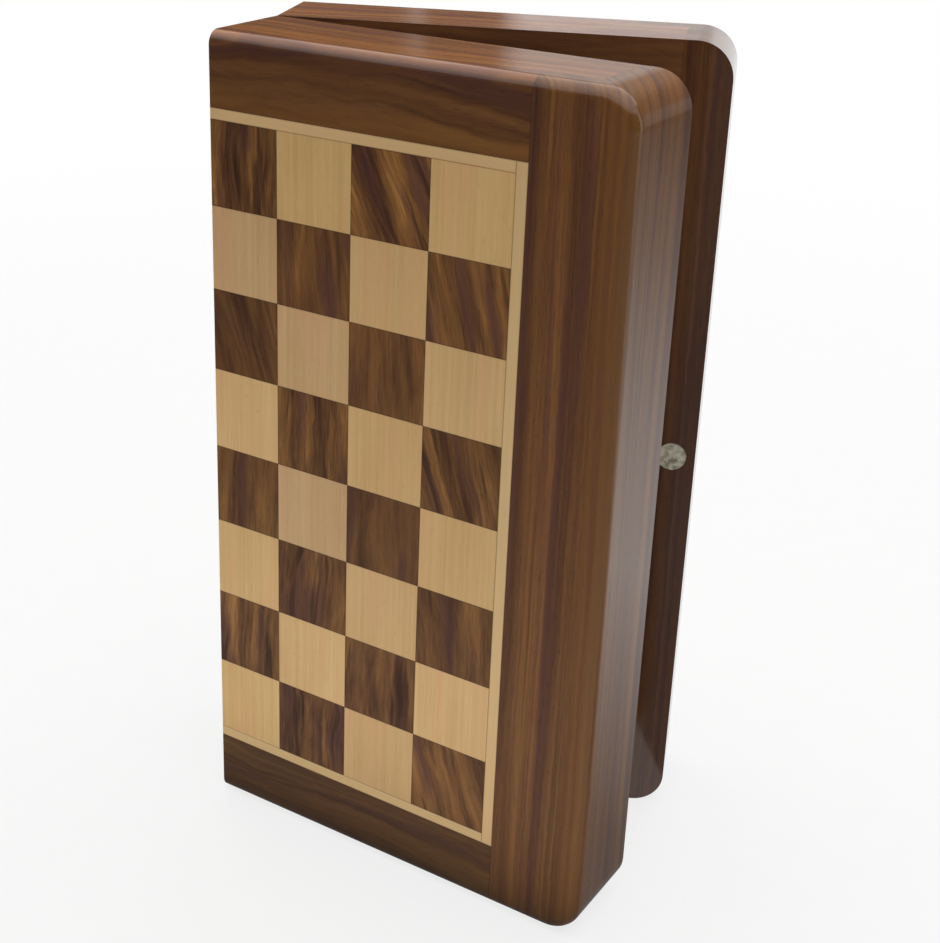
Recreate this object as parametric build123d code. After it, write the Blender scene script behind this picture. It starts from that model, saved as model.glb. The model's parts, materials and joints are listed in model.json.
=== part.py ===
"""Folding chess set: a hinged box whose two halves carry half a chequered playing field each.

Units are millimetres. The box stands on one short end, +Z up, a little open. The near half's
playing face looks towards -Y, the hinge is on the -X side and turns about a line along +Z.
Each half is worked out with the hinge line as its own Z axis, and the whole set is moved
at the end so that the origin lies under the middle of its outline, on the standing plane.
"""

import os
from math import cos, radians, sin, sqrt

from build123d import *

os.makedirs("parts", exist_ok=True)

# Driving dimensions of the playing field and the box
SQUARE = 25.4
ROWS = 8
COLUMNS = 4
SAW_KERF = 1.8
HEIGHT = 253.0
HALF_WIDTH = 132.6
HALF_DEPTH = 31.5
OPEN_ANGLE = 20.4
CORNER_RADIUS = 10.7
ROUNDOVER = 4.0
HINGE_GAP = 0.15

# Playing panel, from its face inwards
SIDE_STRING = 3.5
END_STRING = 3.3
INLAY_THICK = 3.0
STEEL_THICK = 0.5
PANEL_THICK = 9.0
STEEL_INSET = 1.0

# Walls under the panel
OUTER_WALL = 14.3
END_WALL = 14.3
HINGE_WALL = 12.0

# Lined insert that holds the men, a slot for each
INSERT_CLEARANCE = 0.3
INSERT_TOP_BELOW_RIM = 2.0
INSERT_FLOOR = 2.0
SLOT_PITCH = 27.0
SLOT_SIDE_CLEARANCE = 0.6
SLOT_END_CLEARANCE = 1.0
SLOT_FLOOR_CLEARANCE = 0.3

# Catch magnet in the middle of the outer wall's rim
CATCH_DIAMETER = 9.0
CATCH_THICK = 3.0
CATCH_CLEARANCE = 0.05
CATCH_EDGE = 0.3

# Butt hinges let into the hinge walls' rims
HINGE_LENGTH = 30.0
HINGE_OFFSET = 75.0
LEAF_WIDTH = 10.0
LEAF_THICK = 1.2
KNUCKLES = 5
KNUCKLE_RADIUS = 1.8
KNUCKLE_AXIAL_GAP = 0.3
KNUCKLE_CLEARANCE = 0.35
PIN_RADIUS = 0.8
PIN_TIGHT_FIT = 0.02
PIN_RUNNING_FIT = 0.06
PIN_OVERHANG = 0.6
SCREW_SPACING = 18.0
SCREW_FROM_AXIS = 6.2
SCREW_LENGTH = 9.0
SCREW_SHANK = 0.9
SCREW_HEAD = 1.8
SCREW_HEAD_DEPTH = 0.9
SCREW_SLOT_WIDTH = 0.4
SCREW_SLOT_DEPTH = 0.3
SCREW_CLEARANCE = 0.05

# Chessmen: height over the felt and base diameter; the officers' slots are as long as the king
MEN = {
    "king": (48.0, 17.5),
    "queen": (43.0, 17.0),
    "bishop": (37.0, 15.5),
    "knight": (34.0, 15.5),
    "rook": (30.0, 15.5),
    "pawn": (27.0, 13.5),
}
BACK_RANK = ["rook", "knight", "bishop", "queen", "king", "bishop", "knight", "rook"]
MAN_MAGNET_DIAMETER = 8.0
MAN_MAGNET_THICK = 3.0
FELT_THICK = 1.0
FELT_INSET = 0.5

# Turned parts that the men share: shares of the base radius, or of the stem, and bands in mm
FOOT_RIM = 0.28
FOOT_STEP = 0.6
OGEE_RISE = 0.5
OGEE_WAIST = 0.62
FILLET_BAND = 0.5
STEM_HOLLOW = 1.12
STEM_HOLLOW_AT = 0.42
COLLAR_HALF = 0.7

# Places worked out from the sizes above, in the hinge line's own frame
X_IN = HINGE_GAP
X_OUT = HINGE_GAP + HALF_WIDTH
Y_RIM = -HINGE_GAP
Y_FACE = Y_RIM - HALF_DEPTH
Y_WALL = Y_FACE + PANEL_THICK
FIELD_WIDTH = COLUMNS * SQUARE - SAW_KERF
X_STRING = X_IN + FIELD_WIDTH
X_BORDER = X_STRING + SIDE_STRING
FIELD_BOTTOM = (HEIGHT - ROWS * SQUARE) / 2
FIELD_TOP = HEIGHT - FIELD_BOTTOM
BORDER_END = FIELD_BOTTOM - END_STRING
X_CAVITY_IN = X_IN + HINGE_WALL
X_CAVITY_OUT = X_OUT - OUTER_WALL
MID_HEIGHT = HEIGHT / 2


def block(x, y, z):
    """A plain block between two limits along each axis."""
    size = (x[1] - x[0], y[1] - y[0], z[1] - z[0])
    centre = ((x[0] + x[1]) / 2, (y[0] + y[1]) / 2, (z[0] + z[1]) / 2)
    return Pos(*centre) * Box(*size)


def rod(centre, radius, length, direction):
    """A round rod whose middle is at centre, along Y or Z."""
    turn = {"y": Rot(90, 0, 0), "z": Rot(0, 0, 0)}[direction]
    return Pos(*centre) * turn * Cylinder(radius, length)


def half_envelope():
    """Outline of one half: round outer corners and a roundover on the playing face's edges."""
    body = block((X_IN, X_OUT), (Y_FACE, Y_RIM), (0, HEIGHT))
    corners = body.edges().filter_by(Axis.Y).sort_by(Axis.X)[-2:]
    body = fillet(corners, CORNER_RADIUS)
    face_edges = body.faces().sort_by(Axis.Y)[0].edges()
    rounded = [edge for edge in face_edges if edge.center().X > X_IN + ROUNDOVER]
    return fillet(rounded, ROUNDOVER)


ENVELOPE = half_envelope()


def carved(x, y, z):
    """A block trimmed to the half's outline."""
    return block(x, y, z) & ENVELOPE


# Playing panel


def column_edges(column):
    """Limits of one column across the field; the sawn column at the hinge is narrower."""
    left = X_IN + column * SQUARE - SAW_KERF if column else X_IN
    return left, X_IN + (column + 1) * SQUARE - SAW_KERF


def squares(dark):
    """All squares of one colour, counted from the hinge outwards and from the top down."""
    found = []
    for column in range(COLUMNS):
        for row in range(ROWS):
            if ((column + row) % 2 == 0) == dark:
                top = FIELD_TOP - row * SQUARE
                found.append(
                    block(column_edges(column), (Y_FACE, Y_FACE + INLAY_THICK), (top - SQUARE, top))
                )
    return found


def playing_panel():
    """Border rails, strings, squares, steel sheet and the board under them."""
    panel = (Y_FACE, Y_WALL)
    inlay = (Y_FACE, Y_FACE + INLAY_THICK)
    steel = (inlay[1], inlay[1] + STEEL_THICK)
    board = (steel[1], Y_WALL)
    inner = (BORDER_END, HEIGHT - BORDER_END)
    return {
        "border_outer": [carved((X_BORDER, X_OUT), panel, (0, HEIGHT))],
        "border_top": [carved((X_IN, X_BORDER), panel, (HEIGHT - BORDER_END, HEIGHT))],
        "border_bottom": [carved((X_IN, X_BORDER), panel, (0, BORDER_END))],
        "string_outer": [block((X_STRING, X_BORDER), inlay, inner)],
        "string_top": [block((X_IN, X_STRING), inlay, (FIELD_TOP, inner[1]))],
        "string_bottom": [block((X_IN, X_STRING), inlay, (inner[0], FIELD_BOTTOM))],
        "dark_squares": squares(True),
        "light_squares": squares(False),
        "steel_sheet": [block((X_IN + STEEL_INSET, X_BORDER), steel, inner)],
        "base_board": [block((X_IN, X_BORDER), board, inner)],
    }


# Walls, with the seats of the catch and the hinges


def hinge_places():
    """Heights of the two hinges' middles."""
    return {"lower": MID_HEIGHT - HINGE_OFFSET, "upper": MID_HEIGHT + HINGE_OFFSET}


def screw(head_y, x, z, grow=0.0):
    """A countersunk screw going towards -Y; grow makes the hole that it sits in."""
    shank = SCREW_SHANK + grow
    head = SCREW_HEAD + grow
    length = SCREW_LENGTH + grow
    stem = rod((x, head_y - length / 2, z), shank, length, "y")
    cone = Pos(x, head_y - SCREW_HEAD_DEPTH / 2, z) * Rot(90, 0, 0) * Cone(
        head, shank, SCREW_HEAD_DEPTH
    )
    if grow:
        return stem + cone
    slot = block(
        (x - SCREW_HEAD, x + SCREW_HEAD),
        (head_y - SCREW_SLOT_DEPTH, head_y + SCREW_SLOT_DEPTH),
        (z - SCREW_SLOT_WIDTH / 2, z + SCREW_SLOT_WIDTH / 2),
    )
    return stem + cone - slot


def screws(grow=0.0):
    """The four screws of one half."""
    found = []
    for middle in hinge_places().values():
        for side in (-1, 1):
            found.append(screw(Y_RIM, SCREW_FROM_AXIS, middle + side * SCREW_SPACING / 2, grow))
    return found


def leaf_plate(middle):
    """The flat part of a leaf, flush with the rim."""
    return block(
        (0, X_IN + LEAF_WIDTH),
        (Y_RIM - LEAF_THICK, Y_RIM),
        (middle - HINGE_LENGTH / 2, middle + HINGE_LENGTH / 2),
    )


def walls():
    """The four walls of one half, glued under the panel."""
    depth = (Y_WALL, Y_RIM)
    inner = (END_WALL, HEIGHT - END_WALL)
    outer = carved((X_CAVITY_OUT, X_OUT), depth, (0, HEIGHT))
    seat_depth = CATCH_THICK + CATCH_CLEARANCE
    outer -= rod(
        (X_OUT - OUTER_WALL / 2, Y_RIM - seat_depth / 2, MID_HEIGHT),
        CATCH_DIAMETER / 2 + CATCH_CLEARANCE,
        seat_depth,
        "y",
    )
    hinge = block((X_IN, X_CAVITY_IN), depth, inner)
    for middle in hinge_places().values():
        hinge -= leaf_plate(middle)
        barrel_length = HINGE_LENGTH + 2 * (PIN_OVERHANG + KNUCKLE_AXIAL_GAP)
        hinge -= rod((0, 0, middle), KNUCKLE_RADIUS + KNUCKLE_CLEARANCE, barrel_length, "z")
    for hole in screws(SCREW_CLEARANCE):
        hinge -= hole
    return {
        "wall_outer": [outer],
        "wall_top": [block((X_IN, X_CAVITY_OUT), depth, (HEIGHT - END_WALL, HEIGHT))],
        "wall_bottom": [block((X_IN, X_CAVITY_OUT), depth, (0, END_WALL))],
        "wall_hinge": [hinge],
    }


def catch_magnet():
    """The round magnet, flush with the rim."""
    centre = (X_OUT - OUTER_WALL / 2, Y_RIM - CATCH_THICK / 2, MID_HEIGHT)
    disc = rod(centre, CATCH_DIAMETER / 2, CATCH_THICK, "y")
    rim_edge = disc.edges().filter_by(GeomType.CIRCLE).sort_by(Axis.Y)[-1]
    return [fillet(rim_edge, CATCH_EDGE)]


# Hinge leaves and pins


def hinge_leaf(middle, own, bore_fit):
    """A leaf with its own knuckles; own says whether it has the odd (True) or even ones."""
    pitch = HINGE_LENGTH / KNUCKLES
    leaf = leaf_plate(middle)
    for index in range(KNUCKLES):
        centre = (0, 0, middle - HINGE_LENGTH / 2 + (index + 0.5) * pitch)
        if (index % 2 == 0) == own:
            leaf += rod(centre, KNUCKLE_RADIUS, pitch - KNUCKLE_AXIAL_GAP, "z")
    for index in range(KNUCKLES):
        centre = (0, 0, middle - HINGE_LENGTH / 2 + (index + 0.5) * pitch)
        if (index % 2 == 0) != own:
            clear = KNUCKLE_RADIUS + KNUCKLE_CLEARANCE
            leaf -= rod(centre, clear, pitch + KNUCKLE_AXIAL_GAP, "z")
    leaf -= rod((0, 0, middle), PIN_RADIUS + bore_fit, 2 * HINGE_LENGTH, "z")
    for hole in screws(SCREW_CLEARANCE):
        leaf -= hole
    return [leaf]


def hinge_pin(middle):
    """A pin with slightly domed ends."""
    pin = rod((0, 0, middle), PIN_RADIUS, HINGE_LENGTH + 2 * PIN_OVERHANG, "z")
    return [fillet(pin.edges().filter_by(GeomType.CIRCLE), PIN_RADIUS / 2)]


# Chessmen, each turned about +Z and standing on Z = 0


def turned(outline):
    """Revolves an outline that starts on the axis, of (radius, height) points and arcs.

    A pair is the end of a straight line; a pair of pairs is an arc's middle and end.
    """
    edges = []
    last = Vector(0, 0, outline[0][1])
    for step in outline:
        if isinstance(step[0], tuple):
            middle = Vector(step[0][0], 0, step[0][1])
            end = Vector(step[1][0], 0, step[1][1])
            edges.append(ThreePointArc(last, middle, end))
        else:
            end = Vector(step[0], 0, step[1])
            if (end - last).length > 0:
                edges.append(Line(last, end))
        last = end
    edges.append(Line(last, Vector(0, 0, outline[0][1])))
    return revolve(make_face(Wire(edges)), Axis.Z)


def ball_on_top(ball, height, neck):
    """A ball whose crown is at a height, entered from a neck below it."""
    centre = height - ball
    start = centre - sqrt(ball**2 - neck**2)
    return [(neck, start), ((ball, centre), (0, height))]


def foot(base):
    """The round foot and the ogee over it, up to where the stem starts."""
    radius = base / 2
    rim = FOOT_RIM * radius
    ogee_top = rim + OGEE_RISE * radius
    waist = OGEE_WAIST * radius
    return [
        (0, 0),
        (radius, 0),
        ((radius + 0.02, rim / 2), (radius - 0.15, rim)),
        (radius - FOOT_STEP, rim + FOOT_STEP / 3),
        ((0.9 * radius, rim + 0.7 * (ogee_top - rim)), (waist, ogee_top)),
        (waist, ogee_top + FILLET_BAND),
    ]


def stem(base, neck, collar, collar_height):
    """The lower part that every turned man has: foot, slender neck and collar."""
    ogee_top = (FOOT_RIM + OGEE_RISE) * base / 2
    slimmest = ogee_top + STEM_HOLLOW_AT * (collar_height - ogee_top)
    return foot(base) + [
        ((STEM_HOLLOW * neck, slimmest), (neck, collar_height - COLLAR_HALF - FILLET_BAND)),
        (collar, collar_height - COLLAR_HALF),
        ((collar + COLLAR_HALF / 2, collar_height), (collar, collar_height + COLLAR_HALF)),
        (0.95 * neck, collar_height + COLLAR_HALF + FILLET_BAND),
    ]


def pawn(height, base):
    """Ball-headed pawn."""
    ball = 0.17 * height
    neck = 0.18 * base
    collar_height = height - 2 * ball - 1.0
    outline = stem(base, neck, 0.31 * base, collar_height)
    return turned(outline + ball_on_top(ball, height, 0.9 * neck))


def rook(height, base):
    """Tower with a battlement of six merlons."""
    tower_radius = 0.34 * base
    collar_height = 0.66 * height
    flare = 3.0
    parapet = 1.6
    well_depth = 2.6
    notch_width = 1.4
    notch_depth = 2.0
    outline = stem(base, 0.26 * base, 0.33 * base, collar_height)
    outline += [
        (tower_radius, collar_height + flare),
        (tower_radius, height),
        (tower_radius - parapet, height),
        (tower_radius - parapet, height - well_depth),
        (0, height - well_depth),
    ]
    tower = turned(outline)
    half = notch_width / 2
    notch = block((-base, base), (-half, half), (height - notch_depth, height + notch_depth))
    for turn in (30, 90, 150):
        tower -= Rot(0, 0, turn) * notch
    return tower


def bishop(height, base):
    """Mitre with a slanting cut and a small bead on top."""
    collar_height = 0.6 * height
    bead = 1.3
    bead_neck = 0.7
    mitre_top = height - 2 * bead
    mitre_widest = (collar_height + mitre_top) / 2 - 0.2
    cut_below_top = 4.2
    cut_width = 0.9
    outline = stem(base, 0.18 * base, 0.3 * base, collar_height)
    outline += [((0.235 * base, mitre_widest), (bead_neck, mitre_top))]
    outline += ball_on_top(bead, height, bead_neck)
    slant = Pos(0.24 * base, 0, mitre_top - cut_below_top) * Rot(0, -35, 0)
    return turned(outline) - slant * Box(0.34 * base, base, cut_width)


def queen(height, base):
    """Flared crown with scallops and a bead on top."""
    collar_height = 0.66 * height
    crown = 0.29 * base
    crown_top = height - 3.4
    crown_rim = 1.2
    bead = 1.5
    bead_neck = 0.9
    bite = 1.15
    outline = stem(base, 0.18 * base, 0.31 * base, collar_height)
    outline += [
        ((0.2 * base, (collar_height + crown_top) / 2), (crown, crown_top)),
        (crown - crown_rim, crown_top),
        (crown - 1.5 * crown_rim, crown_top - 0.8),
        (bead_neck, crown_top - 0.2),
    ]
    crowned = turned(outline + ball_on_top(bead, height, bead_neck))
    for index in range(8):
        crowned -= Rot(0, 0, 45 * index) * Pos(crown + 0.2, 0, crown_top + 0.5) * Sphere(bite)
    return crowned


def king(height, base):
    """Flared crown, dome and a small cross."""
    collar_height = 0.64 * height
    crown = 0.28 * base
    crown_top = height - 7.4
    dome_neck = 0.8
    arm = 2.3
    arm_root = 0.55
    arm_end = 1.15
    cross_thick = 1.4
    dome_top = height - 2 * arm + 0.4
    outline = stem(base, 0.19 * base, 0.32 * base, collar_height)
    outline += [
        ((0.2 * base, (collar_height + crown_top) / 2), (crown, crown_top)),
        ((0.75 * crown, crown_top + 1.5), (dome_neck, dome_top)),
        (0, dome_top),
    ]
    flare = [(arm_root, 0.35), (arm_end, arm), (-arm_end, arm), (-arm_root, 0.35)]
    cross = Box(2 * arm_root + 0.1, cross_thick, 2 * arm_root + 0.1)
    for turn in (0, 90, 180, 270):
        limb = Plane.XZ * Rot(0, 0, turn) * make_face(Polyline(*flare, close=True))
        cross += extrude(limb, cross_thick / 2, both=True)
    return turned(outline) + Pos(0, 0, height - arm) * cross


def knight(height, base):
    """Horse's head cut from a side outline and a front outline, on a turned foot."""
    neck_root = 0.27 * height
    neck_radius = 0.33 * base
    bevel = 0.4
    shoulder = [(neck_radius, neck_root - bevel), (neck_radius, neck_root), (0, neck_root)]
    turned_foot = turned(foot(base) + shoulder)

    def at(x, share):
        """A point of the side outline, its height as a share of the man's."""
        return Vector(x, 0, share * height)

    sunk = (neck_root - 0.5) / height
    nape, poll, ears, brow = at(-4.9, sunk), at(-2.6, 0.9), at(-1.0, 1.0), at(1.0, 0.89)
    nose, chin, throat, chest = at(7.2, 0.65), at(6.1, 0.56), at(1.6, 0.57), at(5.0, sunk)
    side = [
        ThreePointArc(nape, at(-6.0, 0.55), poll),
        Line(poll, ears),
        Line(ears, brow),
        ThreePointArc(brow, at(4.6, 0.79), nose),
        ThreePointArc(nose, at(7.3, 0.59), chin),
        ThreePointArc(chin, at(3.6, 0.62), throat),
        ThreePointArc(throat, at(4.4, 0.42), chest),
        Line(chest, nape),
    ]
    profile = extrude(make_face(Wire(side)), base, both=True)
    root_half, cheek_half, ear_half = 4.4, 3.6, 2.0
    left = [(-ear_half, height + 1), (-cheek_half, 0.62 * height), (-root_half, neck_root - 1)]
    right = [(-y, z) for y, z in reversed(left)]
    taper = extrude(Plane.YZ * make_face(Polyline(*left, *right, close=True)), base, both=True)
    return turned_foot + (profile & taper)


MAKERS = {
    "king": king,
    "queen": queen,
    "bishop": bishop,
    "knight": knight,
    "rook": rook,
    "pawn": pawn,
}


def foot_disc():
    """The disc magnet in a man's foot, which is also the shape of the hole that it sits in."""
    return Pos(0, 0, MAN_MAGNET_THICK / 2) * Cylinder(MAN_MAGNET_DIAMETER / 2, MAN_MAGNET_THICK)


def foot_felt(base):
    """The felt pad under a man."""
    return Pos(0, 0, -FELT_THICK / 2) * Cylinder(base / 2 - FELT_INSET, FELT_THICK)


# Lined insert, and where each man lies in it


def slot_rows():
    """Heights of the eight slots' middles, from the top down."""
    first = MID_HEIGHT + (len(BACK_RANK) - 1) / 2 * SLOT_PITCH
    return [first - index * SLOT_PITCH for index in range(len(BACK_RANK))]


def slot_columns():
    """X limits, head end and foot end, of the officers' slots and of the pawns' slots."""
    spare = FELT_THICK + 2 * SLOT_END_CLEARANCE
    officer = MEN["king"][0] + spare
    pawn_slot = MEN["pawn"][0] + spare
    rail = (X_CAVITY_OUT - X_CAVITY_IN - officer - pawn_slot) / 3
    officers = (X_CAVITY_OUT - rail - officer, X_CAVITY_OUT - rail)
    pawns = (X_CAVITY_IN + rail, X_CAVITY_IN + rail + pawn_slot)
    return officers, pawns


def lying_men():
    """Each man's kind, the X of its slot's foot end, and its height in the box."""
    officers, pawns = slot_columns()
    men = [(kind, officers[1], z) for kind, z in zip(BACK_RANK, slot_rows())]
    return men + [("pawn", pawns[1], z) for z in slot_rows()]


def laid(kind, foot_x, z):
    """Moves a standing man into its slot, with its head towards the hinge."""
    radius = MEN[kind][1] / 2
    y = Y_WALL + INSERT_FLOOR + SLOT_FLOOR_CLEARANCE + radius
    return Pos(foot_x - SLOT_END_CLEARANCE - FELT_THICK, y, z) * Rot(0, -90, 0)


def dividers(kinds, column, depth):
    """The blocks between the slots of one column, and the two at its ends."""
    edges = [HEIGHT - END_WALL - INSERT_CLEARANCE]
    for kind, z in zip(kinds, slot_rows()):
        reach = MEN[kind][1] / 2 + SLOT_SIDE_CLEARANCE
        edges += [z + reach, z - reach]
    edges.append(END_WALL + INSERT_CLEARANCE)
    return [block(column, depth, (low, high)) for high, low in zip(edges[::2], edges[1::2])]


def insert_pieces():
    """What fills the half: a floor, three rails, and the dividers between the slots."""
    across = (X_CAVITY_IN + INSERT_CLEARANCE, X_CAVITY_OUT - INSERT_CLEARANCE)
    along = (END_WALL + INSERT_CLEARANCE, HEIGHT - END_WALL - INSERT_CLEARANCE)
    floor = Y_WALL + INSERT_FLOOR
    depth = (floor, Y_RIM - INSERT_TOP_BELOW_RIM)
    officers, pawns = slot_columns()
    rails = [(across[0], pawns[0]), (pawns[1], officers[0]), (officers[1], across[1])]
    officer_dividers = dividers(BACK_RANK, officers, depth)
    pawn_dividers = dividers(["pawn"] * len(BACK_RANK), pawns, depth)
    return {
        "insert_floor": [block(across, (Y_WALL, floor), along)],
        "insert_rails": [block(rail, depth, along) for rail in rails],
        "insert_dividers": officer_dividers + pawn_dividers,
    }


def chessmen():
    """All the men of one side, with their magnets and felts, lying in their slots."""
    shapes = {kind: MAKERS[kind](*size) - foot_disc() for kind, size in MEN.items()}
    found = {kind if kind in ("king", "queen") else kind + "s": [] for kind in MEN}
    found["base_magnets"] = []
    found["base_felts"] = []
    for kind, foot_x, z in lying_men():
        place = laid(kind, foot_x, z)
        group = kind if kind in ("king", "queen") else kind + "s"
        found[group].append(place * shapes[kind])
        found["base_magnets"].append(place * foot_disc())
        found["base_felts"].append(place * foot_felt(MEN[kind][1]))
    return found


# Assembly: the far half is the same piece, turned over about the hinge and swung open


def near_place(solid):
    """The near half stays where it was worked out."""
    return solid


def far_place(solid):
    """Turns a piece over on the hinge line's side, then swings it by the opening angle."""
    turned_over = Pos(0, 0, HEIGHT) * Rot(180, 0, 0) * solid
    return Rot(0, 0, OPEN_ANGLE) * turned_over


def half_nodes(half, side, place):
    """Every piece of one half but its hinge leaves, named after where it ends up."""
    swap = {"top": "bottom", "bottom": "top"} if half == "far" else {}
    nodes = {}
    pieces = playing_panel() | walls() | insert_pieces()
    pieces["catch_magnet"] = catch_magnet()
    pieces["hinge_screws"] = screws()
    for name, solids in pieces.items():
        head, _, tail = name.rpartition("_")
        name = f"{head}_{swap.get(tail, tail)}"
        nodes[f"{half}_{name}"] = [place(solid) for solid in solids]
    for name, solids in chessmen().items():
        nodes[f"{side}_{name}"] = [place(solid) for solid in solids]
    return nodes


def hinge_nodes():
    """Leaves and pins of both hinges."""
    nodes = {}
    for name, middle in hinge_places().items():
        other = HEIGHT - middle
        nodes[f"near_hinge_leaf_{name}"] = hinge_leaf(middle, True, PIN_TIGHT_FIT)
        far_leaf = hinge_leaf(other, False, PIN_RUNNING_FIT)
        nodes[f"far_hinge_leaf_{name}"] = [far_place(solid) for solid in far_leaf]
        nodes[f"hinge_pin_{name}"] = hinge_pin(middle)
    return nodes


def hinge_line_place():
    """Where the hinge line stands when the set's outline is centred on the origin."""
    angle = radians(OPEN_ANGLE)
    far_face = HINGE_GAP + HALF_DEPTH
    low_x = X_IN * cos(angle) - far_face * sin(angle)
    corner_x = X_OUT - ROUNDOVER
    corner_y = far_face - ROUNDOVER
    high_y = corner_x * sin(angle) + corner_y * cos(angle) + ROUNDOVER
    return -(low_x + X_OUT) / 2, -(Y_FACE + high_y) / 2


def write_all():
    """Moves every piece to the set's own frame and writes one file for each node."""
    shift = Pos(*hinge_line_place(), 0)
    nodes = half_nodes("near", "light", near_place)
    nodes |= half_nodes("far", "dark", far_place)
    nodes |= hinge_nodes()
    for name, solids in nodes.items():
        moved = [shift * solid for solid in solids]
        shape = moved[0] if len(moved) == 1 else Compound(children=moved)
        export_step(shape, f"parts/{name}.step")
    print("nodes", len(nodes))
    print("hinge line at", [round(value, 3) for value in hinge_line_place()])


write_all()
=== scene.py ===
import json
import math
from itertools import pairwise

import bmesh
import bpy
from mathutils import Euler, Matrix, Vector


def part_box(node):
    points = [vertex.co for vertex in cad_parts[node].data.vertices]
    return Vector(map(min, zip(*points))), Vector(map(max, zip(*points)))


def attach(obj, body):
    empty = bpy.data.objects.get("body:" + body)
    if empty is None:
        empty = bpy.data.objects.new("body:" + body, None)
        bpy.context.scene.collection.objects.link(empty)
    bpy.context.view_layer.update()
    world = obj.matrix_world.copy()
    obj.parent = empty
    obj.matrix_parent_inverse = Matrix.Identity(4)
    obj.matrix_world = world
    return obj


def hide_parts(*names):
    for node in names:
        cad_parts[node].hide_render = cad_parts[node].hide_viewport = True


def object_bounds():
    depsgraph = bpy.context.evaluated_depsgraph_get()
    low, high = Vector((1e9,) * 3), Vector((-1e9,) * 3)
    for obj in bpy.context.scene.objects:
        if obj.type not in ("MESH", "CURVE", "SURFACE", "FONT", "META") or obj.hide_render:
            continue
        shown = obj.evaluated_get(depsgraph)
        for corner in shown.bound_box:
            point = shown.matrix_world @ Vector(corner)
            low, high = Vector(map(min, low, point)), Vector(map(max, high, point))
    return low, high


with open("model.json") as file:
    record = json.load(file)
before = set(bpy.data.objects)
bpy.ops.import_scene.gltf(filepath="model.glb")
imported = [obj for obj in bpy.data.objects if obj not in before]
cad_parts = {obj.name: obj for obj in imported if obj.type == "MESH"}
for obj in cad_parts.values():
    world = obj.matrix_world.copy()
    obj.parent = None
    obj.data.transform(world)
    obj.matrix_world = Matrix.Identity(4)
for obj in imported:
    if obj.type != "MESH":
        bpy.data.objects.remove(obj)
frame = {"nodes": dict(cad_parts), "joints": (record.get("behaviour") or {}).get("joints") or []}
cad_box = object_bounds()

# Places and sizes, all worked out from the frame
#
# Each half is the same piece, so looks are worked out once, in the half's own millimetres:
# X out from the hinge line, Y from the rim (0) down to the playing face (negative), Z from the
# end that the near half stands on. The far half is that piece turned over and swung open.

HALVES = {"near": "near_half", "far": "far_half"}
SIDES = {"near": "light", "far": "dark"}
MM = 0.001
ROWS = 8
COLUMNS = 4

hinge_joint = frame["joints"][0]
HINGE = Vector((*hinge_joint["pos_m"][:2], 0.0))
OPEN_ANGLE = -math.radians(hinge_joint["range_deg"][0])
HEIGHT = (cad_box[1].z - cad_box[0].z) / MM


def own_box(node):
    """A near node's lowest and highest corners, in its half's own millimetres."""
    low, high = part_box(node)
    return (low - HINGE) / MM, (high - HINGE) / MM


FACE = own_box("near_border_outer")[0].y
RIM = own_box("near_wall_outer")[1].y
OUTER_EDGE = own_box("near_border_outer")[1].x
RAIL_EDGE = own_box("near_border_outer")[0].x
STRING_EDGE = own_box("near_string_outer")[0].x
WALL_EDGE = own_box("near_wall_outer")[0].x
FIELD_LOW = own_box("near_string_bottom")[1].z
FIELD_HIGH = own_box("near_string_top")[0].z
STRINGS_LOW = own_box("near_string_bottom")[0].z
STRINGS_HIGH = own_box("near_string_top")[1].z
SQUARE = (FIELD_HIGH - FIELD_LOW) / ROWS
FIRST_COLUMN = STRING_EDGE - COLUMNS * SQUARE


def half_matrix(half):
    """From a half's own millimetres to the row frame."""
    matrix = Matrix.Translation(HINGE) @ Matrix.Scale(MM, 4)
    if half == "far":
        turned_over = Matrix.Translation((0, 0, HEIGHT)) @ Matrix.Rotation(math.pi, 4, "X")
        matrix = matrix @ Matrix.Rotation(OPEN_ANGLE, 4, "Z") @ turned_over
    return matrix


def loose_boxes(node, half):
    """Lowest and highest corners of each separate solid of a node, in its half's own frame."""
    mesh = frame["nodes"][node].data
    inverse = half_matrix(half).inverted()
    places = {}
    for vertex in mesh.vertices:
        key = tuple(round(c / MM, 3) for c in vertex.co)
        places.setdefault(key, []).append(vertex.index)
    owner = {i: indices[0] for indices in places.values() for i in indices}
    parent = {i: i for i in set(owner.values())}

    def root(i):
        while parent[i] != i:
            parent[i] = parent[parent[i]]
            i = parent[i]
        return i

    for a, b in (edge.vertices for edge in mesh.edges):
        parent[root(owner[a])] = root(owner[b])
    groups = {}
    for i in parent:
        groups.setdefault(root(i), []).append(inverse @ mesh.vertices[i].co)
    boxes = []
    for points in groups.values():
        low = Vector([min(p[axis] for p in points) for axis in range(3)])
        high = Vector([max(p[axis] for p in points) for axis in range(3)])
        boxes.append((low, high))
    return sorted(boxes, key=lambda box: (round(box[0].x), round(box[0].z, 2)))


# Shader building

NOISE_MIDDLE = 0.5
WHITE = (1, 1, 1, 1)


def tone(red, green, blue):
    """A colour as it is seen, 0 to 255, as the linear numbers that a shader takes."""
    linear = []
    for value in (red, green, blue):
        share = value / 255
        linear.append(share / 12.92 if share <= 0.04045 else ((share + 0.055) / 1.055) ** 2.4)
    return (*linear, 1.0)


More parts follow.
